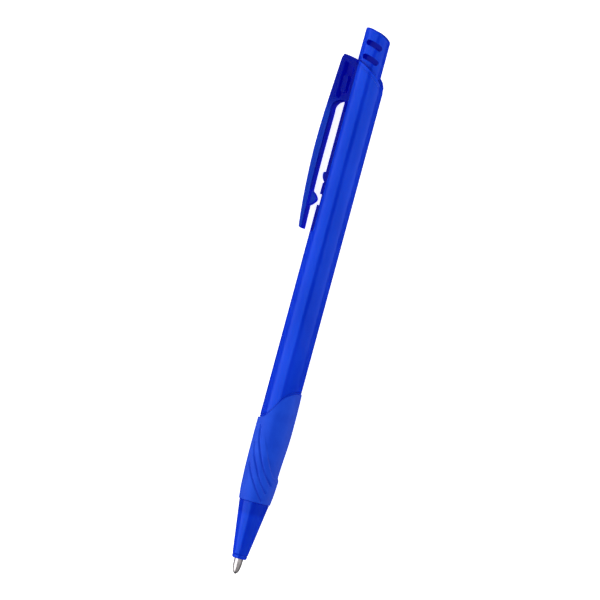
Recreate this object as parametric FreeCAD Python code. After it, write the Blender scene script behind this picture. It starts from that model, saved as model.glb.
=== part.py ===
"""Click-action gel pen, lying on a table with its point out.

Every piece is drawn in the pen's own frame: X runs up the pen's axis from the
tip of the ball, Y points at the clip, and Z points across the pen. At the end
all pieces are rolled together, so that the clip hangs CLIP_DROP degrees below
level and rests on the table with the grip, and are moved so that the row's
origin is under the middle of the pen, on the table.
"""
import FreeCAD
import Part
import math
import os

os.makedirs("parts", exist_ok=True)

V = FreeCAD.Vector
AXIS = V(1, 0, 0)
HOME = V(0, 0, 0)

# ---- overall -------------------------------------------------------------
PEN_LENGTH = 142.0
CLIP_DROP = 14.0

# ---- barrel --------------------------------------------------------------
BARREL_R = 4.37
BARREL_LINE_R = 4.20
BARREL_BORE_R = 3.10
NECK_R = 3.70
NECK_END = 18.95
TOP_CLIP_SIDE = (134.05, 7.60)
TOP_MIDDLE = (132.55, 1.40)
TOP_FAR_SIDE = (129.6, -2.95)
TOP_CHAMFER_END = (127.45, -4.40)
RIM_HEIGHT = 1.1
RIM_DEPTH = 0.12

# ---- wave where the grip meets the barrel ----------------------------------
WAVE_LOW = 40.1
WAVE_HIGH = 48.1
WAVE_GROOVE = 0.14
WAVE_LINE_FROM = 0.42
WAVE_LINE_TO = 0.60

# ---- thread between nose cone and barrel ------------------------------------
THREAD_PITCH = 1.0
THREAD_TURNS = 6
THREAD_START = 20.2
THREAD_ROOT_R = 3.22
THREAD_CREST_R = 3.02
SPIGOT_R = 2.95
SPIGOT_CREST_R = 3.14
SPIGOT_END = 27.2

# ---- nose cone -------------------------------------------------------------
NOSE_MOUTH = 4.0
NOSE_MOUTH_R = 1.84
NOSE_RING_AT = 4.95
NOSE_RING_HALF = 0.18
NOSE_RING_DEPTH = 0.13
NOSE_TOP = 18.79
NOSE_TOP_R = 3.86
NOSE_HOLE_R = 1.22
SPRING_SEAT = 7.8
NOSE_INNER_R = 1.86
NOSE_BORE_R = 2.55
NOSE_BORE_FROM = 14.5

# ---- grip ------------------------------------------------------------------
GRIP_BORE_R = 3.78
GRIP_START = 18.85
GRIP_MAX_R = 4.73
GROOVE_WIDTH = 0.34
GROOVE_DEPTH = 0.24

# ---- clip ------------------------------------------------------------------
CLIP_WIDTH = 5.5
CLIP_END_WIDTH = 4.6
CLIP_END = 88.6
CLIP_EDGE = 0.3
CLIP_CORNER = 0.5
BRIDGE_WEB = 0.9
BRIDGE_PAD = 1.9
PAD_FROM = 124.4
PAD_TO = 129.0
PAD_LOW = 4.75
PAD_MIDDLE = 5.35
PAD_HIGH = 5.95
PAD_ROUND = 0.5
BUMP_AT = 96.6
BUMP_HALF = 1.0

# ---- rail on the barrel under the clip ------------------------------------------
RAIL_HALF = 1.35
RAIL_LOW_TOP = 4.15
RECESS_R = 3.80
RECESS_SHALLOW_R = 4.08
RECESS_ANGLE = 50.0
RECESS_DEEP_END = 119.6
NOTCH_FROM = 95.4
NOTCH_TO = 98.2

# ---- push button -------------------------------------------------------------
BUTTON_R = 3.0
BUTTON_FAR = -2.88
BUTTON_NEAR = 3.96
BUTTON_SHOULDER = 122.0
BUTTON_SHAFT_R = 2.43
BUTTON_BORE_R = 1.45
BUTTON_TOP_R = 9.05
BUTTON_SLOT_TOPS = (138.32, 134.62, 130.92)
BUTTON_SLOT_CURVE = 9.0
BUTTON_SLOT_CENTRE = 2.9
BUTTON_SLOT_ENDS = (-1.25, 1.75)
BUTTON_SLOT_HEIGHT = 1.45
BUTTON_SLOT_FLOOR = 0.35
BUTTON_GAP = 0.12

# ---- click mechanism -----------------------------------------------------------
RIB_COUNT = 4
RIB_BORE_R = 2.52
RIB_HALF = 0.56
RIB_TOP = 117.7
RIB_RING_TOP = 120.6
FIN_R = 3.02
FIN_LOW = 100.0
FIN_RISE = 3.2
FIN_GAP = 0.40
ROTOR_START = 97.15
ROTOR_END = 103.2
TEETH = 8
TOOTH_HEIGHT = 0.7
BUTTON_START = 104.0

# ---- refill ----------------------------------------------------------------
TUBE_R = 2.45
TUBE_BORE_R = 2.0
TUBE_START = 24.0
TUBE_END = 95.5
INK_TOP = 77.0
FOLLOWER_TOP = 83.0
POINT_R = 1.14
POINT_END = 13.0
BALL_R = 0.40

# ---- return spring -----------------------------------------------------------
SPRING_MEAN_R = 1.61
SPRING_WIRE_R = 0.17
SPRING_TOP = 21.9
SPRING_TURNS = 9


def revolve(points):
    """Turn a closed outline of (station, radius) points about the axis."""
    wire = Part.makePolygon([V(s, r, 0) for s, r in points + points[:1]])
    return Part.Face(wire).revolve(HOME, AXIS, 360)


def round_bar(start, end, radius):
    return Part.makeCylinder(radius, end - start, V(start, 0, 0), AXIS)


def smooth_revolve(stations, inner):
    """Turn a smooth outline through (station, radius) points, down to an inner radius."""
    curve = Part.BSplineCurve()
    curve.interpolate([V(s, r, 0) for s, r in stations])
    first = stations[0]
    last = stations[-1]
    path = [V(last[0], last[1], 0), V(last[0], inner, 0), V(first[0], inner, 0), V(first[0], first[1], 0)]
    wire = Part.Wire([curve.toShape()] + Part.makePolygon(path).Edges)
    return Part.Face(wire).revolve(HOME, AXIS, 360)


def slab(edges, low, high):
    """Extrude a closed outline drawn in the X-Y plane across the pen."""
    face = Part.Face(Part.Wire(edges))
    solid = face.extrude(V(0, 0, high - low))
    solid.translate(V(0, 0, low))
    return solid


def polygon_slab(points, low, high):
    return slab(Part.makePolygon([V(s, u, 0) for s, u in points + points[:1]]).Edges, low, high)


def spline(points):
    curve = Part.BSplineCurve()
    curve.interpolate([V(s, u, 0) for s, u in points])
    return curve.toShape()


def line(a, b):
    return Part.makeLine(V(a[0], a[1], 0), V(b[0], b[1], 0))


def turned(shape, degrees):
    copy = shape.copy()
    copy.rotate(HOME, AXIS, degrees)
    return copy


def wave_points(shift):
    """The wave that parts the grip from the barrel, low on the clip side."""
    rise = WAVE_HIGH - WAVE_LOW
    return [
        (WAVE_LOW - 0.05 + shift, 7.0),
        (WAVE_LOW + shift, 3.9),
        (WAVE_LOW + 0.15 * rise + shift, 1.55),
        (WAVE_LOW + 0.46 * rise + shift, -0.07),
        (WAVE_LOW + 0.70 * rise + shift, -1.2),
        (WAVE_LOW + 0.89 * rise + shift, -2.85),
        (WAVE_HIGH + shift, -4.6),
        (WAVE_HIGH + 0.05 + shift, -7.0),
    ]


def below_wave(shift):
    """Everything on the tip side of the wave."""
    points = wave_points(shift)
    edges = [spline(points)]
    edges.append(line(points[-1], (0.0, -7.0)))
    edges.append(line((0.0, -7.0), (0.0, 7.0)))
    edges.append(line((0.0, 7.0), points[0]))
    return slab(edges, -8, 8)


def thread_rings(start, root, crest, inward):
    """Plain thread turns, one ring per pitch."""
    rings = []
    sink = 0.05 if inward else -0.05
    for turn in range(THREAD_TURNS):
        s = start + turn * THREAD_PITCH
        flank = [(s - 0.24, root + sink), (s - 0.10, crest), (s + 0.10, crest), (s + 0.24, root + sink)]
        rings.append(revolve(flank))
    return rings


def above_top(drop):
    """Everything above the curved end of the barrel, or above a line that much lower."""
    clip_side = (TOP_CLIP_SIDE[0] - drop, TOP_CLIP_SIDE[1])
    middle = (TOP_MIDDLE[0] - drop, TOP_MIDDLE[1])
    far_side = (TOP_FAR_SIDE[0] - drop, TOP_FAR_SIDE[1])
    chamfer_end = (TOP_CHAMFER_END[0] - drop, TOP_CHAMFER_END[1])
    arc = Part.Arc(V(*clip_side, 0), V(*middle, 0), V(*far_side, 0)).toShape()
    corner = (clip_side[0] - 0.1, 12)
    edges = [
        line((150, 12), corner),
        line(corner, clip_side),
        arc,
        line(far_side, chamfer_end),
        line(chamfer_end, (chamfer_end[0] - 4.0, -8)),
        line((chamfer_end[0] - 4.0, -8), (150, -8)),
        line((150, -8), (150, 12)),
    ]
    return slab(edges, -10, 10)


def button_section(start, end, gap):
    """The button's thumb piece: a round bar drawn out towards the clip."""
    radius = BUTTON_R + gap
    far = Part.makeCylinder(radius, end - start, V(start, BUTTON_FAR + BUTTON_R, 0), AXIS)
    near = Part.makeCylinder(radius, end - start, V(start, BUTTON_NEAR - BUTTON_R, 0), AXIS)
    span = BUTTON_NEAR - BUTTON_FAR - 2 * BUTTON_R
    core = Part.makeBox(end - start, span, 2 * radius, V(start, BUTTON_FAR + BUTTON_R, -radius))
    return far.fuse([near, core]).removeSplitter()


def clip_blank():
    """Side outline of the clip and the bridge that joins it to the barrel."""
    outer = [(88.9, 7.15), (96.0, 7.92), (103.0, 8.36), (110.5, 8.55), (119.0, 8.33), (127.0, 7.93),
             (132.8, 7.62)]
    inner = [(88.6, 6.40), (94.0, 6.58), (103.0, 6.86), (113.0, 6.88), (119.4, 6.86)]
    edges = [
        spline(outer),
        line(outer[-1], (134.4, 7.0)),
        line((134.4, 7.0), (134.4, 2.9)),
        line((134.4, 2.9), (122.6, 2.9)),
        line((122.6, 2.9), (122.4, 4.9)),
        Part.Arc(V(122.4, 4.9, 0), V(121.6, 6.3, 0), V(119.4, 6.86, 0)).toShape(),
        spline(inner),
        line(inner[0], outer[0]),
    ]
    half = CLIP_WIDTH / 2
    body = slab(edges, -half, half)
    # the plate narrows a little towards its free end, which is square with rounded corners
    end_half = CLIP_END_WIDTH / 2
    inset = CLIP_CORNER * (1 - math.sqrt(0.5))
    plan = [
        V(CLIP_END + CLIP_CORNER, 0, -end_half),
        V(118.0, 0, -half),
        V(140.0, 0, -half),
        V(140.0, 0, half),
        V(118.0, 0, half),
        V(CLIP_END + CLIP_CORNER, 0, end_half),
    ]
    corner = end_half - CLIP_CORNER
    near = Part.Arc(plan[-1], V(CLIP_END + inset, 0, end_half - inset), V(CLIP_END, 0, corner)).toShape()
    far = Part.Arc(V(CLIP_END, 0, -corner), V(CLIP_END + inset, 0, inset - end_half), plan[0]).toShape()
    square = Part.makeLine(V(CLIP_END, 0, corner), V(CLIP_END, 0, -corner))
    outline = Part.Wire(Part.makePolygon(plan).Edges + [near, square, far])
    trim = Part.Face(outline).extrude(V(0, 12, 0))
    return body.common(trim)


def soften(shape, radius, chooser):
    """Round the chosen edges, and leave the shape alone if they can't be."""
    chosen = [edge for edge in shape.Edges if chooser(edge)]
    try:
        rounded = shape.makeFillet(radius, chosen)
        if rounded.isValid() and rounded.Volume > 0:
            return rounded
    except Exception:
        pass
    print("edges left sharp", len(chosen))
    return shape


def make_clip():
    clip = clip_blank()
    half = CLIP_WIDTH / 2

    def outer_edge(edge):
        box = edge.BoundBox
        long_edge = box.XLength > 6.0 and box.XMin < 120
        above = box.YMin > 6.9
        return long_edge and above

    clip = soften(clip, CLIP_EDGE, outer_edge)
    # a moulded pocket hollows the bridge from each side down to a thin web, which carries a raised pad
    pocket = slab([
        line((132.5, 6.45), (123.4, 6.45)),
        Part.Arc(V(123.4, 6.45, 0), V(122.75, 5.95, 0), V(123.25, 5.2, 0)).toShape(),
        line((123.25, 5.2), (124.5, 3.6)),
        line((124.5, 3.6), (131.0, 3.6)),
        line((131.0, 3.6), (132.5, 6.45)),
    ], 0.0, half + 1)
    low_end = PAD_FROM + PAD_ROUND
    high_end = PAD_TO - PAD_ROUND
    top_round = Part.Arc(V(high_end, PAD_LOW, 0), V(PAD_TO, PAD_MIDDLE, 0), V(high_end, PAD_HIGH, 0))
    low_round = Part.Arc(V(low_end, PAD_HIGH, 0), V(PAD_FROM, PAD_MIDDLE, 0), V(low_end, PAD_LOW, 0))
    pad = slab([
        line((low_end, PAD_LOW), (high_end, PAD_LOW)),
        top_round.toShape(),
        line((high_end, PAD_HIGH), (low_end, PAD_HIGH)),
        low_round.toShape(),
    ], 0.0, BRIDGE_PAD)
    core = round_bar(100.0, 140.0, BARREL_R - 0.05)
    web = Part.makeBox(30.0, 12.0, BRIDGE_WEB / 2, V(115.0, 0.0, 0.0))
    for side in (-1, 1):
        pocket_tool = pocket.cut([core, web, pad])
        if side < 0:
            pocket_tool = pocket_tool.mirror(HOME, V(0, 0, 1))
        clip = clip.cut(pocket_tool)
    # the bump on the clip's inner face that grips a pocket edge
    flank = [(2.25, 6.85), (1.62, 5.92), (0.65, 5.02)]
    profile = [(-s, u) for s, u in flank] + [(0.0, 4.77)] + flank[::-1]
    points = [(BUMP_AT + s, u) for s, u in profile]
    bump = slab([spline(points), line(points[-1], points[0])], -BUMP_HALF, BUMP_HALF)
    bump = soften(bump, 0.15, lambda edge: edge.BoundBox.YMin < 5.0)
    return clip.fuse(bump)


def sector(start, end, inner, outer, low_angle, high_angle):
    """Part of a ring, between two angles from the clip's side, towards +Z."""
    reach = 3 * outer
    points = [V(start, 0, 0)]
    for angle in (low_angle, high_angle):
        turn = math.radians(angle)
        points.append(V(start, reach * math.cos(turn), reach * math.sin(turn)))
    wedge = Part.Face(Part.makePolygon(points + points[:1])).extrude(V(end - start, 0, 0))
    return wedge.common(round_bar(start, end, outer).cut(round_bar(start - 1, end + 1, inner)))


def rail_tools():
    """What is cut away beside the rail that runs along the barrel under the clip, and from its top."""
    tools = []
    rail = Part.makeBox(60.0, 12.0, 2 * RAIL_HALF, V(80.0, 0.0, -RAIL_HALF))
    spans = [(CLIP_END, RECESS_DEEP_END, RECESS_R), (RECESS_DEEP_END, 140.0, RECESS_SHALLOW_R)]
    for start, end, radius in spans:
        tools.append(sector(start, end, radius, 6.0, -RECESS_ANGLE, RECESS_ANGLE).cut(rail))
    tools.append(sector(NOTCH_FROM, NOTCH_TO, RECESS_R, 6.0, -RECESS_ANGLE, RECESS_ANGLE))
    low_stretch = [(CLIP_END, RAIL_LOW_TOP), (96.0, RAIL_LOW_TOP), (96.0, 6), (CLIP_END, 6)]
    tools.append(polygon_slab(low_stretch, -3, 3))
    return tools


def catch():
    """The catch on the rail above the bump, with a nick below it."""
    outline = [
        line((101.55, 3.5), (101.55, 4.1)),
        spline([(101.55, 4.1), (102.05, 4.42), (102.6, 4.66), (103.2, 4.76), (103.75, 4.70)]),
        line((103.75, 4.70), (103.95, 4.3)),
        line((103.95, 4.3), (103.95, 3.5)),
        line((103.95, 3.5), (101.55, 3.5)),
    ]
    return slab(outline, -RAIL_HALF, RAIL_HALF)


def rib_outline(low_edge):
    """One guide rib, seen from the axis: its lower end is the cam ramp."""
    return [
        (low_edge, -RIB_HALF),
        (low_edge + FIN_RISE, RIB_HALF),
        (RIB_RING_TOP - 0.5, RIB_HALF),
        (RIB_RING_TOP - 0.5, -RIB_HALF),
    ]


def radial_prism(outline, inner, outer):
    """Extrude an outline of (station, across) points outward from the axis along Y."""
    wire = Part.makePolygon([V(s, inner, t) for s, t in outline + outline[:1]])
    return Part.Face(wire).extrude(V(0, outer - inner, 0))


def make_barrel():
    outer = revolve([
        (NECK_END, 0.0),
        (NECK_END, NECK_R - 0.15),
        (NECK_END + 0.15, NECK_R),
        (38.0, NECK_R),
        (38.0, BARREL_R),
        (135.0, BARREL_R),
        (135.0, 0.0),
    ])
    # the thick part starts at the wave, with a groove left next to the grip
    ring = round_bar(37.0, 60.0, 6.0).cut(round_bar(36.0, 61.0, NECK_R))
    outer = outer.cut(ring.common(below_wave(0.0)))
    # and a fine line runs along just above the groove
    skin = round_bar(37.0, 60.0, 6.0).cut(round_bar(36.0, 61.0, BARREL_LINE_R))
    outer = outer.cut(skin.common(below_wave(WAVE_LINE_TO)).cut(below_wave(WAVE_LINE_FROM)))
    # the rail under the clip with its nicks, then the catch on it, the clip and the bridge
    nick = Part.makeBox(0.5, 1.5, 2 * RAIL_HALF + 1, V(101.1, 3.95, -RAIL_HALF - 0.5))
    outer = outer.cut(rail_tools() + [nick])
    body = outer.fuse([make_clip(), catch()])
    body = body.cut(above_top(0.0))
    # the rim round the top is stepped in a little
    rim = above_top(RIM_HEIGHT)
    beside = polygon_slab([(120, 3.6), (140, 3.6), (140, 9), (120, 9)], -6, 6)
    round_skin = round_bar(110, 140, 6.0).cut(round_bar(109, 141, BARREL_R - RIM_DEPTH)).cut(beside)
    sides = polygon_slab([(120, 3.3), (140, 3.3), (140, 9), (120, 9)], CLIP_WIDTH / 2 - RIM_DEPTH, 6)
    body = body.cut(rim.common(round_skin))
    body = body.cut(rim.common(sides))
    body = body.cut(rim.common(sides.mirror(HOME, V(0, 0, 1))))
    # bore, from the tip end: thread, main bore, ring that stops the button, and the button's mouth
    bore = revolve([
        (NECK_END - 1.0, 0.0),
        (NECK_END - 1.0, THREAD_ROOT_R + 0.18),
        (NECK_END + 0.3, THREAD_ROOT_R),
        (SPIGOT_END + 0.8, THREAD_ROOT_R),
        (SPIGOT_END + 1.0, BARREL_BORE_R),
        (RIB_TOP, BARREL_BORE_R),
        (RIB_TOP, RIB_BORE_R),
        (RIB_RING_TOP + 0.5, RIB_BORE_R),
        (RIB_RING_TOP + 0.5, 0.0),
    ])
    mouth = button_section(RIB_RING_TOP, 140.0, BUTTON_GAP)
    body = body.cut(bore).cut(mouth)
    # female thread and the guide ribs of the click mechanism
    half_pitch = THREAD_START + THREAD_PITCH / 2
    rings = thread_rings(half_pitch, THREAD_ROOT_R, THREAD_CREST_R, True)
    rib = radial_prism(rib_outline(FIN_LOW + FIN_GAP), 2.0, 3.3).cut(round_bar(90, 130, RIB_BORE_R))
    ribs = [turned(rib, 360.0 / RIB_COUNT * i) for i in range(RIB_COUNT)]
    return body.fuse(rings + ribs).removeSplitter()


def grip_full():
    return [(GRIP_START, 4.06), (20.2, 4.22), (22.0, 4.40), (24.0, 4.50), (27.5, 4.64), (32.0, 4.71),
            (37.0, GRIP_MAX_R), (42.0, GRIP_MAX_R - 0.01), (45.5, 4.66), (49.0, 4.54)]


def grip_scooped():
    return [(GRIP_START, 3.98), (22.0, 4.14), (25.0, 4.19), (28.0, 4.27), (31.0, 4.44), (34.0, 4.62),
            (37.0, GRIP_MAX_R), (42.0, 4.72), (45.5, 4.66), (49.0, 4.54)]


def groove_tool(points):
    """A narrow band that follows a curve drawn on the side of the grip."""
    low = [(s - 0.22 * GROOVE_WIDTH, u + 0.45 * GROOVE_WIDTH) for s, u in points]
    high = [(s + 0.22 * GROOVE_WIDTH, u - 0.45 * GROOVE_WIDTH) for s, u in points]
    edges = [spline(low), line(low[-1], high[-1]), spline(high), line(high[0], low[0])]
    return slab(edges, -8, 8)


def make_grip():
    full = smooth_revolve(grip_full(), 0.0)
    scooped = smooth_revolve(grip_scooped(), 0.0)
    # the finger scoop lies beyond a ridge that runs down and round to the side away from the clip
    ridge = [(38.5, 1.9), (35.8, 0.65), (32.9, -0.56), (30.3, -1.65), (28.1, -2.7), (25.9, -4.0),
             (24.4, -6.0)]
    beyond = slab([
        spline(ridge),
        line(ridge[-1], (60.0, -6.0)),
        line((60.0, -6.0), (60.0, 1.9)),
        line((60.0, 1.9), ridge[0]),
    ], -8, 8)
    grip = full.cut(beyond).fuse(scooped).removeSplitter()
    grip = grip.common(below_wave(-WAVE_GROOVE))
    # three fine grooves follow the ridge
    inner = smooth_revolve([(s, r - GROOVE_DEPTH) for s, r in grip_full()], 0.0)
    grooves = [
        [(38.0, 2.62), (34.6, 2.01), (30.8, 0.50), (27.5, -1.21), (23.8, -3.75)],
        [(33.6, 3.18), (30.8, 2.40), (27.8, 0.85), (24.8, -0.85), (21.7, -3.15)],
        [(28.3, 3.18), (25.9, 1.94), (23.75, 0.53), (21.7, -0.99), (19.6, -2.60)],
    ]
    for points in grooves:
        grip = grip.cut(groove_tool(points).cut(inner))
    return grip.cut(round_bar(10.0, 60.0, GRIP_BORE_R))


def make_nose():
    slope = (NOSE_TOP_R - NOSE_MOUTH_R) / (NOSE_TOP - NOSE_MOUTH)
    ring_low = NOSE_RING_AT - NOSE_RING_HALF
    ring_high = NOSE_RING_AT + NOSE_RING_HALF
    nose = revolve([
        (NOSE_MOUTH, NOSE_HOLE_R),
        (NOSE_MOUTH, NOSE_MOUTH_R - 0.24),
        (NOSE_MOUTH + 0.07, NOSE_MOUTH_R - 0.09),
        (NOSE_MOUTH + 0.24, NOSE_MOUTH_R + 0.24 * slope),
        (ring_low, NOSE_MOUTH_R + slope * (ring_low - NOSE_MOUTH)),
        (NOSE_RING_AT, NOSE_MOUTH_R + slope * (NOSE_RING_AT - NOSE_MOUTH) - NOSE_RING_DEPTH),
        (ring_high, NOSE_MOUTH_R + slope * (ring_high - NOSE_MOUTH)),
        (NOSE_TOP - 0.08, NOSE_TOP_R - 0.01),
        (NOSE_TOP, NOSE_TOP_R - 0.08),
        (NOSE_TOP, SPIGOT_R),
        (SPIGOT_END - 0.3, SPIGOT_R),
        (SPIGOT_END, SPIGOT_R - 0.2),
        (SPIGOT_END, NOSE_BORE_R + 0.1),
        (SPIGOT_END - 0.2, NOSE_BORE_R),
        (NOSE_BORE_FROM, NOSE_BORE_R),
        (SPRING_SEAT + 0.6, NOSE_INNER_R),
        (SPRING_SEAT, NOSE_INNER_R),
        (SPRING_SEAT, NOSE_HOLE_R),
    ])
    return nose.fuse(thread_rings(THREAD_START, SPIGOT_R, SPIGOT_CREST_R, False)).removeSplitter()


def tooth_ring(base, point, inner, outer):
    """A crown of pointed teeth: wedges that rise from base to point."""
    teeth = []
    width = 2 * math.pi * outer / TEETH * 0.98
    outline = [(base, -width / 2), (point, 0.0), (base, width / 2)]
    wedge = radial_prism(outline, 0.0, outer + 1).common(round_bar(90, 120, outer))
    wedge = wedge.cut(round_bar(90, 120, inner))
    for i in range(TEETH):
        teeth.append(turned(wedge, 360.0 / TEETH * i))
    return teeth


def slot_tool(slot_top):
    """A curved slot with round ends, cut across the button."""
    half = BUTTON_SLOT_HEIGHT / 2
    centre_s = slot_top - BUTTON_SLOT_CURVE
    centre = V(centre_s, BUTTON_SLOT_CENTRE, -10.0)
    up = V(0, 0, 1)
    band = Part.makeCylinder(BUTTON_SLOT_CURVE + half, 20.0, centre, up)
    band = band.cut(Part.makeCylinder(BUTTON_SLOT_CURVE - half, 20.0, centre, up))
    wedge = [(centre_s, BUTTON_SLOT_CENTRE)]
    tool_ends = []
    for u in BUTTON_SLOT_ENDS:
        across = (u - BUTTON_SLOT_CENTRE) / BUTTON_SLOT_CURVE
        along = math.sqrt(1.0 - across * across)
        reach = 1.3 * BUTTON_SLOT_CURVE
        wedge.append((centre_s + reach * along, BUTTON_SLOT_CENTRE + reach * across))
        end = V(centre_s + BUTTON_SLOT_CURVE * along, u, -10.0)
        tool_ends.append(Part.makeCylinder(half, 20.0, end, up))
    middle = band.common(polygon_slab(wedge, -10.0, 10.0))
    return middle.fuse(tool_ends).removeSplitter()


def make_button():
    thumb = button_section(BUTTON_SHOULDER, 145.0, 0.0)
    centre_s = PEN_LENGTH - BUTTON_TOP_R
    dome = Part.makeCylinder(BUTTON_TOP_R, 20.0, V(centre_s, 3.43, -10.0), V(0, 0, 1))
    dome = dome.fuse(Part.makeBox(centre_s - 100.0, 20.0, 20.0, V(100.0, -8.0, -10.0)))
    thumb = thumb.common(dome)
    thumb = soften(thumb, 0.45, lambda edge: edge.BoundBox.XMin > 136.0)
    # three deep curved slots with round ends on each side, the lowest inside the barrel's mouth
    core = polygon_slab([(100, -9), (160, -9), (160, 9), (100, 9)], -BUTTON_SLOT_FLOOR, BUTTON_SLOT_FLOOR)
    for slot_top in BUTTON_SLOT_TOPS:
        thumb = thumb.cut(slot_tool(slot_top).cut(core))
    shaft = round_bar(BUTTON_START, BUTTON_SHOULDER + 0.5, BUTTON_SHAFT_R)
    body = thumb.fuse(shaft)
    bore = revolve([
        (BUTTON_START - 2.0, 0.0),
        (BUTTON_START - 2.0, BUTTON_BORE_R),
        (128.0, BUTTON_BORE_R),
        (129.2, 0.0),
    ])
    # snap lugs that run between the guide ribs
    lug = radial_prism([(106.5, -0.8), (105.9, 0.0), (106.5, 0.8), (111.9, 0.8), (111.9, -0.8)], 2.0, 3.3)
    lug = lug.common(round_bar(100, 120, FIN_R))
    lugs = [turned(lug, 45.0 + 360.0 / RIB_COUNT * i) for i in range(RIB_COUNT)]
    body = body.fuse(lugs)
    body = body.cut(bore)
    for i in range(TEETH):
        half = math.pi * BUTTON_SHAFT_R / TEETH
        base = BUTTON_START - 0.1
        valley = radial_prism([(base, -half), (BUTTON_START + TOOTH_HEIGHT, 0.0), (base, half)], 0.5, 3.5)
        body = body.cut(turned(valley, 360.0 / TEETH * (i + 0.5)))
    return body.removeSplitter()


def make_rotor():
    body = revolve([
        (ROTOR_START, 1.0),
        (ROTOR_START, BUTTON_SHAFT_R),
        (ROTOR_END, BUTTON_SHAFT_R),
        (ROTOR_END, 1.38),
        (109.6, 1.38),
        (110.2, 0.9),
        (110.2, 0.0),
        (ROTOR_START + 2.2, 0.0),
        (ROTOR_START + 1.4, 1.0),
    ])
    outline = [
        (ROTOR_START + 1.0, -RIB_HALF),
        (ROTOR_START + 1.0, RIB_HALF),
        (FIN_LOW + FIN_RISE, RIB_HALF),
        (FIN_LOW, -RIB_HALF),
    ]
    fin = radial_prism(outline, 2.0, 3.3).common(round_bar(90, 120, FIN_R))
    fins = [turned(fin, 360.0 / RIB_COUNT * i) for i in range(RIB_COUNT)]
    teeth = tooth_ring(ROTOR_END - 0.05, ROTOR_END + TOOTH_HEIGHT, 1.3, BUTTON_SHAFT_R)
    return body.fuse(fins + teeth).removeSplitter()


def make_spring():
    """Compression spring with a closed coil at each end."""
    low = SPRING_SEAT + SPRING_WIRE_R + 0.03
    high = SPRING_TOP - SPRING_WIRE_R - 0.03
    closed = 2 * SPRING_WIRE_R + 0.04
    points = []
    steps = 16
    total = SPRING_TURNS + 2
    open_length = high - low - 2 * closed
    for i in range(total * steps + 1):
        turn = i / steps
        if turn <= 1.0:
            s = low + closed * turn
        elif turn >= total - 1.0:
            s = high - closed * (total - turn)
        else:
            s = low + closed + open_length * (turn - 1.0) / (total - 2.0)
        angle = 2 * math.pi * turn
        points.append(V(s, SPRING_MEAN_R * math.cos(angle), SPRING_MEAN_R * math.sin(angle)))
    curve = Part.BSplineCurve()
    curve.interpolate(points)
    path = Part.Wire([curve.toShape()])
    tangent = curve.tangent(curve.FirstParameter)[0]
    profile = Part.Wire([Part.Circle(points[0], tangent, SPRING_WIRE_R).toShape()])
    return path.makePipeShell([profile], True, True)


def make_point():
    """Metal point: turned nose, straight body, thin tail, and the ink channel."""
    nose = [(0.24, 0.42), (0.45, 0.60), (0.8, 0.78), (1.3, 0.93), (2.0, 1.05), (3.0, 1.12), (4.0, POINT_R)]
    curve = Part.BSplineCurve()
    curve.interpolate([V(s, r, 0) for s, r in nose])
    rest = [(4.0, POINT_R), (POINT_END, POINT_R), (POINT_END, 0.78), (16.8, 0.78), (16.8, 0.0), (0.24, 0.0),
            (0.24, 0.42)]
    edges = [curve.toShape()] + Part.makePolygon([V(s, r, 0) for s, r in rest]).Edges
    body = Part.Face(Part.Wire(edges)).revolve(HOME, AXIS, 360)
    seat = Part.makeSphere(BALL_R + 0.02, V(BALL_R, 0, 0))
    channel = revolve([(0.4, 0.0), (0.4, 0.17), (2.4, 0.17), (3.2, 0.42), (17.5, 0.42), (17.5, 0.0)])
    return body.cut(seat).cut(channel)


def make_holder():
    """Plastic holder that carries the point and plugs into the ink tube."""
    return revolve([
        (POINT_END + 0.06, 0.84),
        (POINT_END + 0.06, 1.18),
        (POINT_END + 0.2, 1.30),
        (22.0, 1.30),
        (22.0, 2.15),
        (22.3, TUBE_R),
        (23.9, TUBE_R),
        (23.9, 1.93),
        (28.6, 1.93),
        (29.0, 1.80),
        (29.0, 1.35),
        (26.0, 1.0),
        (18.0, 0.6),
        (16.9, 0.6),
        (16.9, 0.84),
    ])


def make_tail_plug():
    return revolve([
        (90.5, 0.5),
        (90.5, 1.78),
        (90.9, 1.93),
        (TUBE_END + 0.1, 1.93),
        (TUBE_END + 0.1, TUBE_R),
        (96.8, TUBE_R),
        (97.05, 2.2),
        (97.05, 0.5),
    ])


def make_follower():
    """Grease plug behind the ink, dished at its back."""
    return revolve([
        (INK_TOP + 0.05, 0.0),
        (INK_TOP + 0.05, 1.95),
        (FOLLOWER_TOP, 1.95),
        (FOLLOWER_TOP - 0.35, 1.5),
        (FOLLOWER_TOP - 0.7, 0.8),
        (FOLLOWER_TOP - 0.8, 0.0),
    ])


pieces = {
    "barrel": make_barrel(),
    "grip_sleeve": make_grip(),
    "nose_cone": make_nose(),
    "push_button": make_button(),
    "cam_rotor": make_rotor(),
    "return_spring": make_spring(),
    "metal_point": make_point(),
    "writing_ball": Part.makeSphere(BALL_R, V(BALL_R, 0, 0)),
    "point_holder": make_holder(),
    "refill_tube": round_bar(TUBE_START, TUBE_END, TUBE_R).cut(round_bar(20.0, 100.0, TUBE_BORE_R)),
    "gel_ink": round_bar(29.1, INK_TOP, 1.95),
    "ink_follower": make_follower(),
    "tail_plug": make_tail_plug(),
}

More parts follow.
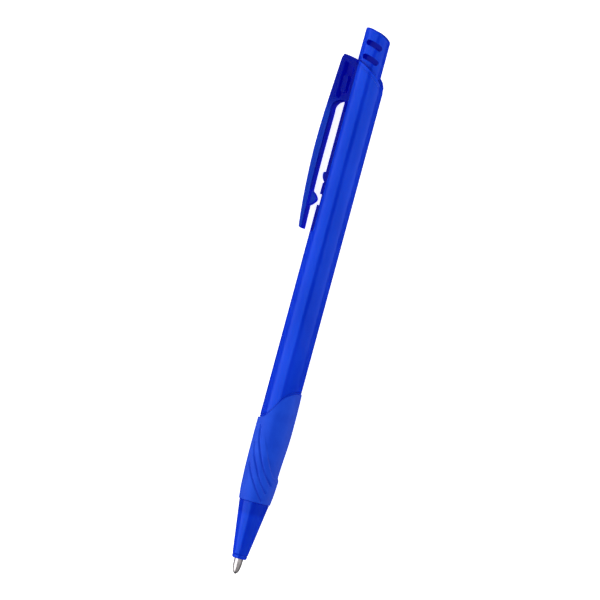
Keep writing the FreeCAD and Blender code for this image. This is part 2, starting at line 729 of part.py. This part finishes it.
# roll the pen onto its clip and set the origin under its middle, on the table
placed = {}
for name, shape in pieces.items():
    copy = shape.copy()
    copy.rotate(HOME, AXIS, -CLIP_DROP)
    placed[name] = copy
boxes = [shape.optimalBoundingBox() for shape in placed.values()]
mid_x = 0.5 * (min(b.XMin for b in boxes) + max(b.XMax for b in boxes))
mid_y = 0.5 * (min(b.YMin for b in boxes) + max(b.YMax for b in boxes))
floor_z = min(b.ZMin for b in boxes)
print("axis at", -mid_y, -floor_z, "tip at", -mid_x)
for name, shape in placed.items():
    shape.translate(V(-mid_x, -mid_y, -floor_z))
    solid = shape if shape.ShapeType == "Solid" else shape.Solids[0]
    print(name, "solids", len(shape.Solids), "valid", shape.isValid(), "volume", round(shape.Volume, 2))
    box = solid.BoundBox
    print("   ", [round(value, 2) for value in (box.XMin, box.XMax, box.YMin, box.YMax, box.ZMin, box.ZMax)])
    solid.exportStep("parts/" + name + ".step")
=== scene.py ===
"""Looks of the click-action gel pen: materials, a detailed rubber grip, light and camera."""
import math

import bmesh
import bpy
from mathutils import Matrix, Vector


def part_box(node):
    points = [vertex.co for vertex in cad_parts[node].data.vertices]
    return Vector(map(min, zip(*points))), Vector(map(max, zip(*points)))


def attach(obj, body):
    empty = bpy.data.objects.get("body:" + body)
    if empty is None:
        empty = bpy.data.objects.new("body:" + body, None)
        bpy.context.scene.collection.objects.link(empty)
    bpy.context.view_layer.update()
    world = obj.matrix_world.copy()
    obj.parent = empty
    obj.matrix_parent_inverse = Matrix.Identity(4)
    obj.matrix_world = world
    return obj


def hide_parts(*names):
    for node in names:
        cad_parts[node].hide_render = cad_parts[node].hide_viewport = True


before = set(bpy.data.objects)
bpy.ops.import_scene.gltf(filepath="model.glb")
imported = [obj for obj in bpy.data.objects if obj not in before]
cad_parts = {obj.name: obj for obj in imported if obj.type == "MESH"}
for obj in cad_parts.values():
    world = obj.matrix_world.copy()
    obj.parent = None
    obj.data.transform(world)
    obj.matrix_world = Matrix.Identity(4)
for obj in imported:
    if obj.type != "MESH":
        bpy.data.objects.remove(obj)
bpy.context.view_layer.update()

# ---- where the pen is ----------------------------------------------------------
# Stations are millimetres up from the tip, and radii are millimetres from the axis.
MM = 0.001
ball_low, ball_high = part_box("writing_ball")
TIP_X = ball_low.x
AXIS_Y = (ball_low.y + ball_high.y) / 2
AXIS_Z = (ball_low.z + ball_high.z) / 2
CLIP_DROP = math.radians(14.0)
BARREL_R = 4.37
CLIP_END = 88.6

# Where one colour of the plastic passes into the next.
END_BLEND = 0.1                # either side of the clip's end
# Painted shadow and darkened reflection of the clip on the barrel strip under it start here.
CLIP_SHADOW_BLEND = (2.75, 2.95)      # height towards the clip
SOLID_BLEND = (0.15, 0.40)     # beyond the barrel's radius
BRIDGE_BLEND = (118.0, 123.5)  # stations
NOSE_BAND = (15.6, 19.5)       # stations
BAND_LOW_BLEND = 0.7
BAND_TOP_BLEND = 0.1
BAND_STRENGTH = 0.45

# How far from a face another one still shades it, in metres.
RECESS_REACH = 0.004
CREASE_REACH = 0.0006
GROOVE_REACH = 0.0009

# How much rougher the plastic is in its recesses.
MATT_IN_RECESS = 0.45

# ---- colours ---------------------------------------------------------------------
BLACK = (0.0, 0.0, 0.0)
WHITE = (1.0, 1.0, 1.0)
# Painted glow: blue emission laid into recesses, light that no lamp gives.
PAINTED_GLOW = (0.0006, 0.0010, 0.17)
PAINTED_CLIP_GLOW = (0.004, 0.006, 0.42)
TINT = (0.02, 0.17, 0.80)
NAVY_TINT = (0.0, 0.022, 0.6)
RUBBER_TINT = (0.10, 0.25, 1.0)
# Painted shade for recesses and creases.
RECESS_SHADE_NAVY = (0.0005, 0.0015, 0.22)
# Painted shadow and darkened reflection of the clip on the barrel under it.
CLIP_SHADOW_BLUE = (0.0005, 0.0020, 0.24)
# Clip and bridge: deeper for their solid plastic, and also painted shade for the dark reflection on
# their flat faces.
CLIP_SOLID_AND_SHADE_BLUE = (0.002, 0.012, 0.36)
BRIDGE_SOLID_AND_SHADE_BLUE = (0.0005, 0.0030, 0.24)
# Painted shade in the grip's grooves.
GROOVE_SHADE_BLUE = (0.001, 0.009, 0.28)
CORE_BLUE = (0.0005, 0.006, 0.34)
DEEP_BLUE = (0.003, 0.030, 0.55)
LIGHT_BLUE = (0.006, 0.044, 0.66)
GRIP_DEEP = (0.006, 0.048, 0.56)
GRIP_LIGHT = (0.010, 0.066, 0.64)


def place(station, radius, angle):
    """A point on the pen: millimetres up from the tip, from the axis, and the
    angle from the clip's side, turning upward."""
    turn = angle - CLIP_DROP
    return Vector((
        TIP_X + station * MM,
        AXIS_Y + radius * MM * math.cos(turn),
        AXIS_Z + radius * MM * math.sin(turn),
    ))


# ---- material building blocks ----------------------------------------------------
def new_material(name):
    material = bpy.data.materials.new(name)
    material.use_nodes = True
    tree = material.node_tree
    tree.nodes.clear()
    output = tree.nodes.new("ShaderNodeOutputMaterial")
    shader = tree.nodes.new("ShaderNodeBsdfPrincipled")
    tree.links.new(shader.outputs[0], output.inputs["Surface"])
    return material, tree, shader


def object_coords(tree, scale=(1, 1, 1)):
    coords = tree.nodes.new("ShaderNodeTexCoord")
    mapping = tree.nodes.new("ShaderNodeMapping")
    mapping.inputs["Scale"].default_value = scale
    tree.links.new(coords.outputs["Object"], mapping.inputs["Vector"])
    return mapping.outputs["Vector"]


def noise(tree, vector, scale, detail=3.0, roughness=0.5):
    node = tree.nodes.new("ShaderNodeTexNoise")
    node.inputs["Scale"].default_value = scale
    node.inputs["Detail"].default_value = detail
    node.inputs["Roughness"].default_value = roughness
    tree.links.new(vector, node.inputs["Vector"])
    return node.outputs["Fac"]


def ramp(tree, value, stops):
    node = tree.nodes.new("ShaderNodeValToRGB")
    elements = node.color_ramp.elements
    while len(elements) < len(stops):
        elements.new(0.5)
    for element, (position, colour) in zip(elements, stops):
        element.position = position
        element.color = (*colour, 1.0)
    tree.links.new(value, node.inputs["Fac"])
    return node.outputs["Color"]


def mottled(tree, value, deep, light):
    """A cloudy mix of two colours."""
    return ramp(tree, value, [(0.3, deep), (0.7, light)])


def spread(tree, value, low, high):
    """Stretch a 0 to 1 value to low to high."""
    node = tree.nodes.new("ShaderNodeMapRange")
    node.inputs["To Min"].default_value = low
    node.inputs["To Max"].default_value = high
    tree.links.new(value, node.inputs["Value"])
    return node.outputs["Result"]


def bump(tree, height, strength, distance, under=None):
    node = tree.nodes.new("ShaderNodeBump")
    node.inputs["Strength"].default_value = strength
    node.inputs["Distance"].default_value = distance
    tree.links.new(height, node.inputs["Height"])
    if under is not None:
        tree.links.new(under, node.inputs["Normal"])
    return node.outputs["Normal"]


def pen_coords(tree):
    """Millimetres up from the tip, towards the clip and across the pen, as X, Y and Z."""
    coords = tree.nodes.new("ShaderNodeTexCoord")
    shift = tree.nodes.new("ShaderNodeVectorMath")
    shift.operation = "SUBTRACT"
    shift.inputs[1].default_value = (TIP_X, AXIS_Y, AXIS_Z)
    tree.links.new(coords.outputs["Object"], shift.inputs[0])
    turn = tree.nodes.new("ShaderNodeMapping")
    turn.inputs["Rotation"].default_value = (CLIP_DROP, 0.0, 0.0)
    turn.inputs["Scale"].default_value = (1 / MM, 1 / MM, 1 / MM)
    tree.links.new(shift.outputs["Vector"], turn.inputs["Vector"])
    split = tree.nodes.new("ShaderNodeSeparateXYZ")
    tree.links.new(turn.outputs["Vector"], split.inputs["Vector"])
    return split.outputs


def math_node(tree, operation, first, second=None):
    node = tree.nodes.new("ShaderNodeMath")
    node.operation = operation
    for socket, value in zip(node.inputs, (first, second)):
        if value is None:
            continue
        if isinstance(value, (int, float)):
            socket.default_value = value
        else:
            tree.links.new(value, socket)
    return node.outputs["Value"]


def distance_from_axis(tree, coords):
    squares = [math_node(tree, "POWER", coords[axis], 2.0) for axis in ("Y", "Z")]
    return math_node(tree, "SQRT", math_node(tree, "ADD", *squares))


def step_up(tree, value, low, high):
    """0 below low, 1 above high."""
    node = tree.nodes.new("ShaderNodeMapRange")
    node.interpolation_type = "SMOOTHSTEP"
    node.inputs["From Min"].default_value = low
    node.inputs["From Max"].default_value = high
    tree.links.new(value, node.inputs["Value"])
    return node.outputs["Result"]


def painted_shade_mask(tree, reach, shut, clear):
    """1 on open faces, falling to 0 in slots and pockets: the mask for painted shade and painted glow
    in recesses.
    """
    node = tree.nodes.new("ShaderNodeAmbientOcclusion")
    node.inputs["Distance"].default_value = reach
    node.samples = 8
    return ramp(tree, node.outputs["AO"], [(shut, BLACK), (clear, WHITE)])


def mix_colour(tree, factor, first, second):
    node = tree.nodes.new("ShaderNodeMix")
    node.data_type = "RGBA"
    tree.links.new(factor, node.inputs["Factor"])
    for socket, colour in ((node.inputs[6], first), (node.inputs[7], second)):
        if isinstance(colour, tuple):
            socket.default_value = (*colour, 1.0)
        else:
            tree.links.new(colour, socket)
    return node.outputs[2]


def bore_band(tree, start, end):
    """1 all round the nose where its bore widens for the refill's holder, which shows deeper."""
    along = pen_coords(tree)["X"]
    above = step_up(tree, along, start - BAND_LOW_BLEND, start + BAND_LOW_BLEND)
    below = step_up(tree, along, end + BAND_TOP_BLEND, end - BAND_TOP_BLEND)
    return math_node(tree, "MULTIPLY", above, below)


def clip_side(tree, body):
    """Colour, painted glow and gloss tint of the barrel: a painted shadow and darkened reflection of
    the clip on the barrel strip under it, and deeper colour on the clip and bridge, partly for their
    solid plastic and partly as painted shade."""
    coords = pen_coords(tree)
    radius = distance_from_axis(tree, coords)
    above_end = step_up(tree, coords["X"], CLIP_END - END_BLEND, CLIP_END + END_BLEND)
    # Painted shadow and darkened reflection of the clip: the barrel strip under it, from the clip's
    # end up.
    clip_shadow_strip = math_node(tree, "MULTIPLY", above_end, step_up(tree, coords["Y"], *CLIP_SHADOW_BLEND))
    outside = step_up(tree, radius, BARREL_R + SOLID_BLEND[0], BARREL_R + SOLID_BLEND[1])
    bridge = step_up(tree, coords["X"], *BRIDGE_BLEND)
    body = mix_colour(tree, clip_shadow_strip, body, CLIP_SHADOW_BLUE)
    tint = mix_colour(tree, clip_shadow_strip, TINT, NAVY_TINT)
    # Clip and bridge colour, glow and gloss tint: deeper for solid plastic and also painted shade.
    clip = mix_colour(tree, bridge, CLIP_SOLID_AND_SHADE_BLUE, BRIDGE_SOLID_AND_SHADE_BLUE)
    painted_clip_glow = mix_colour(tree, bridge, PAINTED_CLIP_GLOW, PAINTED_GLOW)
    clip_tint = mix_colour(tree, bridge, TINT, NAVY_TINT)
    return (
        mix_colour(tree, outside, body, clip),
        mix_colour(tree, outside, PAINTED_GLOW, painted_clip_glow),
        mix_colour(tree, outside, tint, clip_tint),
    )


def tinted_plastic(name, rough, gloss, with_clip=False, band=None):
    """Moulded tinted plastic: cloudy coloured body with painted shade in its recesses and creases,
    under a gloss skin, and a painted glow: blue emission laid into its recesses. What stands out
    beyond the hollow barrel is solid plastic, coloured deeper, partly for that and partly as painted
    shade."""
    material, tree, shader = new_material(name)
    along = object_coords(tree, (0.35, 1.0, 1.0))
    cloud = noise(tree, along, 160.0, 2.0)
    body = mottled(tree, cloud, DEEP_BLUE, LIGHT_BLUE)
    if band is not None:
        shown = math_node(tree, "MULTIPLY", bore_band(tree, *band), BAND_STRENGTH)
        body = mix_colour(tree, shown, body, CORE_BLUE)
    painted_glow_colour = PAINTED_GLOW
    if with_clip:
        body, painted_glow_colour, tint = clip_side(tree, body)
        tree.links.new(tint, shader.inputs["Specular Tint"])
    else:
        shader.inputs["Specular Tint"].default_value = (*TINT, 1.0)
    recess = painted_shade_mask(tree, RECESS_REACH, shut=0.35, clear=0.85)
    crease = painted_shade_mask(tree, CREASE_REACH, shut=0.40, clear=0.90)
    unshaded = math_node(tree, "MINIMUM", recess, crease)
    # Painted shade: recesses and creases darken to navy.
    tree.links.new(mix_colour(tree, unshaded, RECESS_SHADE_NAVY, body), shader.inputs["Base Color"])
    # Painted glow: blue emission in the recesses.
    tree.links.new(mix_colour(tree, recess, painted_glow_colour, BLACK), shader.inputs["Emission Color"])
    shader.inputs["Emission Strength"].default_value = 1.0
    fine = noise(tree, object_coords(tree), 2600.0, 4.0)
    skin = spread(tree, fine, rough * 0.85, rough * 1.2)
    matt = math_node(tree, "MULTIPLY", math_node(tree, "SUBTRACT", 1.0, unshaded), MATT_IN_RECESS)
    tree.links.new(math_node(tree, "ADD", skin, matt), shader.inputs["Roughness"])
    shader.inputs["Subsurface Weight"].default_value = 0.5
    shader.inputs["Subsurface Radius"].default_value = (0.15, 0.35, 1.0)
    shader.inputs["Subsurface Scale"].default_value = 0.0012
    shader.inputs["IOR"].default_value = 1.9
    shader.inputs["Specular IOR Level"].default_value = gloss
    shader.inputs["Coat Weight"].default_value = 0.15
    shader.inputs["Coat Roughness"].default_value = 0.04
    shader.inputs["Coat IOR"].default_value = 1.35
    flow = noise(tree, object_coords(tree, (0.12, 1.0, 1.0)), 420.0, 2.0)
    normal = bump(tree, flow, 0.06, 0.00012)
    tree.links.new(normal, shader.inputs["Coat Normal"])
    tree.links.new(bump(tree, fine, 0.08, 0.00003, normal), shader.inputs["Normal"])
    return material


def rubber(name, groove_shade, deep, light):
    """Soft-touch rubber: even satin, with a very fine grain, with painted shade and a faint painted
    glow in its grooves.
    """
    material, tree, shader = new_material(name)
    cloud = noise(tree, object_coords(tree), 220.0, 3.0)
    body = mottled(tree, cloud, deep, light)
    unshaded = painted_shade_mask(tree, GROOVE_REACH, shut=0.30, clear=0.95)
    # Painted shade and painted glow in the grooves.
    tree.links.new(mix_colour(tree, unshaded, groove_shade, body), shader.inputs["Base Color"])
    tree.links.new(mix_colour(tree, unshaded, PAINTED_GLOW, BLACK), shader.inputs["Emission Color"])
    shader.inputs["Emission Strength"].default_value = 1.0
    grain = noise(tree, object_coords(tree), 9000.0, 3.0, 0.6)
    tree.links.new(spread(tree, grain, 0.36, 0.48), shader.inputs["Roughness"])
    shader.inputs["IOR"].default_value = 1.5
    shader.inputs["Specular IOR Level"].default_value = 0.7
    shader.inputs["Specular Tint"].default_value = (*RUBBER_TINT, 1.0)
    tree.links.new(bump(tree, grain, 0.12, 0.00003), shader.inputs["Normal"])
    return material


def turned_metal(name, deep, light, rough):
    """Metal turned on a lathe: fine rings round the pen's axis."""
    material, tree, shader = new_material(name)
    shader.inputs["Metallic"].default_value = 1.0
    rings = noise(tree, object_coords(tree, (1.0, 0.02, 0.02)), 9000.0, 2.0)
    cloud = noise(tree, object_coords(tree), 900.0, 3.0)
    tree.links.new(mottled(tree, cloud, deep, light), shader.inputs["Base Color"])
    tree.links.new(spread(tree, rings, rough * 0.7, rough * 1.4), shader.inputs["Roughness"])
    tree.links.new(bump(tree, rings, 0.15, 0.00002), shader.inputs["Normal"])
    return material


def plain_plastic(name, deep, light, rough, through=0.0):
    """Undyed moulded plastic of the inner pieces."""
    material, tree, shader = new_material(name)
    cloud = noise(tree, object_coords(tree), 500.0, 3.0)
    tree.links.new(mottled(tree, cloud, deep, light), shader.inputs["Base Color"])
    fine = noise(tree, object_coords(tree), 4000.0, 3.0)
    tree.links.new(spread(tree, fine, rough * 0.85, rough * 1.15), shader.inputs["Roughness"])
    shader.inputs["Transmission Weight"].default_value = through
    shader.inputs["IOR"].default_value = 1.49
    tree.links.new(bump(tree, fine, 0.1, 0.00002), shader.inputs["Normal"])
    return material


def dress(piece, material):
    """Give a piece one material."""
    piece.data.materials.clear()
    piece.data.materials.append(material)


# ---- what each piece is made of --------------------------------------------------------
barrel_look = tinted_plastic("barrel_plastic", 0.16, 0.5, with_clip=True)
nose_look = tinted_plastic("nose_plastic", 0.14, 0.5, band=NOSE_BAND)
button_look = tinted_plastic("button_plastic", 0.18, 0.4)
grip_look = rubber("grip_rubber", GROOVE_SHADE_BLUE, GRIP_DEEP, GRIP_LIGHT)

looks = {
    "barrel": barrel_look,
    "grip_sleeve": grip_look,
    "nose_cone": nose_look,
    "push_button": button_look,
    "cam_rotor": plain_plastic("cam_plastic", (0.70, 0.70, 0.67), (0.84, 0.84, 0.81), 0.4),
    "return_spring": turned_metal("spring_steel", (0.45, 0.45, 0.46), (0.65, 0.65, 0.66), 0.28),
    "metal_point": turned_metal("nickel_silver", (0.74, 0.69, 0.70), (0.86, 0.81, 0.82), 0.40),
    "writing_ball": turned_metal("ball_carbide", (0.05, 0.05, 0.055), (0.12, 0.12, 0.13), 0.15),
    "point_holder": plain_plastic("holder_plastic", (0.75, 0.76, 0.78), (0.88, 0.88, 0.90), 0.35),
    "refill_tube": plain_plastic("tube_plastic", (0.80, 0.84, 0.90), (0.92, 0.94, 0.97), 0.2, 0.8),
    "gel_ink": plain_plastic("ink", (0.004, 0.01, 0.16), (0.01, 0.03, 0.30), 0.15),
    "ink_follower": plain_plastic("follower_grease", (0.80, 0.78, 0.62), (0.92, 0.90, 0.78), 0.2, 0.6),
    "tail_plug": plain_plastic("plug_plastic", (0.80, 0.80, 0.80), (0.92, 0.92, 0.92), 0.4),
}
for node, look in looks.items():
    dress(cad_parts[node], look)


# ---- the rubber grip ------------------------------------------------------------------
GRIP_START = 18.85
GRIP_BORE_R = 3.78
WAVE_GAP = 0.14
ROWS = 190
COLUMNS = 240
MEAN_R = 4.6  # turns an angle into a height towards the clip
FOOT_R = 3.96  # where the lower lip starts
LOWER_LIP = 0.06
UPPER_LIP = 0.08
RIM_STEPS = [(0.025, 0.04), (0.0, 0.12)]  # below the top, and inside the rim
SHARP_EDGE = math.radians(50)

# Outlines of station and radius, outside the scoop and in it.
UPPER = [(37.0, 4.73), (42.0, 4.72), (45.5, 4.66), (49.0, 4.54)]
FULL = [
    (18.85, 4.06), (20.2, 4.22), (22.0, 4.40), (24.0, 4.50), (27.5, 4.64), (32.0, 4.71),
] + UPPER
SCOOPED = [
    (18.85, 3.98), (22.0, 4.14), (25.0, 4.19), (28.0, 4.27), (31.0, 4.44), (34.0, 4.62),
] + UPPER

# Lines on the grip, as station and height towards the clip.
WAVE = [
    (40.05, 7.0), (40.1, 3.9), (41.3, 1.55), (43.78, -0.07), (45.7, -1.2), (47.22, -2.85),
    (48.1, -4.6), (48.15, -7.0),
]
RIDGE = [
    (38.5, 1.9), (35.8, 0.65), (32.9, -0.56), (30.3, -1.65), (28.1, -2.7), (25.9, -4.0), (24.4, -6.0),
]
GROOVES = [
    [(38.0, 2.62), (34.6, 2.01), (30.8, 0.50), (27.5, -1.21), (23.8, -3.75)],
    [(33.6, 3.18), (30.8, 2.40), (27.8, 0.85), (24.8, -0.85), (21.7, -3.15)],
    [(28.3, 3.18), (25.9, 1.94), (23.75, 0.53), (21.7, -0.99), (19.6, -2.60)],
]
GROOVE_HALF_WIDTH = 0.36
GROOVE_DEPTH = 0.30
RIDGE_SOFTNESS = 0.32


def smooth_path(points, steps):
    """Points along a Catmull-Rom curve through the given ones."""
    ends = [Vector(point) for point in points]
    ends = [2 * ends[0] - ends[1]] + ends + [2 * ends[-1] - ends[-2]]
    path = []
    for before, start, stop, after in zip(ends, ends[1:], ends[2:], ends[3:]):
        for step in range(steps):
            t = step / steps
            pull = (before * -1 + start * 3 - stop * 3 + after) * t ** 3
            bend = (before * 2 - start * 5 + stop * 4 - after) * t ** 2
            slope = (stop - before) * t
            path.append(start + 0.5 * (slope + bend + pull))
    path.append(ends[-2])
    return path


def look_up(path, value, key, wanted):
    """Read one coordinate of a path where its other coordinate has a value."""
    low = path[0]
    for high in path[1:]:
        if (low[key] - value) * (high[key] - value) <= 0 and low[key] != high[key]:
            share = (value - low[key]) / (high[key] - low[key])
            return low[wanted] + share * (high[wanted] - low[wanted])
        low = high
    first, last = path[0], path[-1]
    nearest = last if abs(last[key] - value) < abs(first[key] - value) else first
    return nearest[wanted]


def distance_to_path(path, point):
    best = math.inf
    for start, stop in zip(path, path[1:]):
        line = stop - start
        share = max(0.0, min(1.0, (point - start).dot(line) / line.length_squared))
        best = min(best, (point - start - share * line).length)
    return best


def soft_step(value, half_width):
    share = max(0.0, min(1.0, 0.5 + 0.5 * value / half_width))
    return share * share * (3 - 2 * share)


def make_grip():
    """The grip as one soft moulding: a finger scoop behind a feathered ridge, three soft
    grooves that fade out at their ends, and a rounded lip along the wave."""
    full = smooth_path(FULL, 8)
    scooped = smooth_path(SCOOPED, 8)
    wave = smooth_path(WAVE, 10)
    ridge = smooth_path(RIDGE, 6)
    grooves = [smooth_path(points, 8) for points in GROOVES]

    def outer_radius(station, towards_clip):
        high = look_up(full, station, 0, 1)
        low = look_up(scooped, station, 0, 1)
        beyond = soft_step(station - look_up(ridge, towards_clip, 1, 0), RIDGE_SOFTNESS)
        if towards_clip > RIDGE[0][1]:
            beyond = 0.0
        radius = high + (low - high) * beyond
        for path in grooves:
            if not path[-1].x - 1 < station < path[0].x + 1:
                continue
            away = distance_to_path(path, Vector((station, towards_clip)))
            if away < GROOVE_HALF_WIDTH:
                radius -= GROOVE_DEPTH * 0.5 * (1 + math.cos(math.pi * away / GROOVE_HALF_WIDTH))
        return radius

    mesh = bmesh.new()
    rings = []
    for column in range(COLUMNS):
        angle = 2 * math.pi * column / COLUMNS
        top = look_up(wave, MEAN_R * math.cos(angle), 1, 0) - WAVE_GAP
        loop = [(GRIP_START, GRIP_BORE_R), (GRIP_START, FOOT_R)]
        span = top - GRIP_START - (LOWER_LIP + UPPER_LIP)
        for row in range(ROWS + 1):
            station = GRIP_START + LOWER_LIP + span * row / ROWS
            loop.append((station, outer_radius(station, MEAN_R * math.cos(angle))))
        rim = loop[-1][1]
        for below, inside in RIM_STEPS:
            loop.append((top - below, rim - inside))
        loop.append((top, GRIP_BORE_R))
        rings.append([mesh.verts.new(place(station, radius, angle)) for station, radius in loop])
    for ring, following in zip(rings, rings[1:] + rings[:1]):
        for low in range(len(ring)):
            high = (low + 1) % len(ring)
            face = mesh.faces.new((ring[low], ring[high], following[high], following[low]))
            face.smooth = True
    bmesh.ops.recalc_face_normals(mesh, faces=mesh.faces)
    data = bpy.data.meshes.new("soft_grip")
    mesh.to_mesh(data)
    mesh.free()
    data.set_sharp_from_angle(angle=SHARP_EDGE)
    grip = bpy.data.objects.new("soft_grip", data)
    bpy.context.collection.objects.link(grip)
    dress(grip, grip_look)
    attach(grip, "body")
    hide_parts("grip_sleeve")


make_grip()


# ---- floor, light and camera --------------------------------------------------------
FLOOR_SIZE = 4.0
FLOOR_GLOW = 0.85
WORLD_LIGHT = 0.22
PEN_LEAN = math.radians(15.15)
VIEW_WIDTH = 0.15207
CAMERA_HEIGHT = 1.2
CAMERA_Y = 0.00012
SENSOR = 36.0
SOFTBOXES = [  # name, centre, length along the pen and width across it, watts
    ("left_softbox", (0.19, 0.62, 0.50), (0.42, 1.10), 2.4),
    ("left_low_softbox", (-0.46, 0.62, 0.50), (0.88, 1.10), 6.2),
    ("right_softbox", (0.49, -0.58, 0.50), (1.02, 1.30), 5.8),
    ("right_fill", (-0.62, -0.62, 0.50), (0.96, 1.04), 0.9),
]


def make_floor():
    bpy.ops.mesh.primitive_plane_add(size=FLOOR_SIZE, location=(0, 0, 0))
    floor = bpy.context.object
    floor.name = "floor"
    material, tree, shader = new_material("floor_paper")
    cloud = noise(tree, object_coords(tree), 30.0, 2.0)
    paper = ramp(tree, cloud, [(0.0, (0.90, 0.90, 0.90)), (1.0, (0.93, 0.93, 0.93))])
    tree.links.new(paper, shader.inputs["Base Color"])
    shader.inputs["Roughness"].default_value = 0.9
    shader.inputs["Specular IOR Level"].default_value = 0.1
    shader.inputs["Emission Color"].default_value = (1.0, 1.0, 1.0, 1.0)
    shader.inputs["Emission Strength"].default_value = FLOOR_GLOW
    floor.visible_glossy = False
    floor.data.materials.append(material)


def softbox(name, centre, size, watts):
    """A rectangular light aimed straight across at the pen's own line."""
    light = bpy.data.lights.new(name, "AREA")
    light.shape = "RECTANGLE"
    light.size, light.size_y = size
    light.energy = watts
    lamp = bpy.data.objects.new(name, light)
    bpy.context.collection.objects.link(lamp)
    lamp.location = centre
    back = (Vector(centre) - Vector((centre[0], 0, 0))).normalized()
    side = Vector((1, 0, 0))
    up = back.cross(side).normalized()
    lamp.rotation_euler = Matrix((side, up, back)).transposed().to_euler()


make_floor()
for row in SOFTBOXES:
    softbox(*row)

world = bpy.data.worlds.new("studio")
bpy.context.scene.world = world
world.use_nodes = True
sky = world.node_tree.nodes["Background"]
sky.inputs["Color"].default_value = (*WHITE, 1.0)
sky.inputs["Strength"].default_value = WORLD_LIGHT
world.cycles_visibility.glossy = False

camera_data = bpy.data.cameras.new("camera")
camera_data.sensor_width = SENSOR
camera_data.lens = SENSOR * CAMERA_HEIGHT / VIEW_WIDTH
camera = bpy.data.objects.new("camera", camera_data)
bpy.context.collection.objects.link(camera)
camera.location = (0.0, CAMERA_Y, CAMERA_HEIGHT)
camera.rotation_euler = (0.0, 0.0, PEN_LEAN - math.pi / 2)
bpy.context.scene.camera = camera
bpy.context.scene.view_settings.view_transform = "Standard"
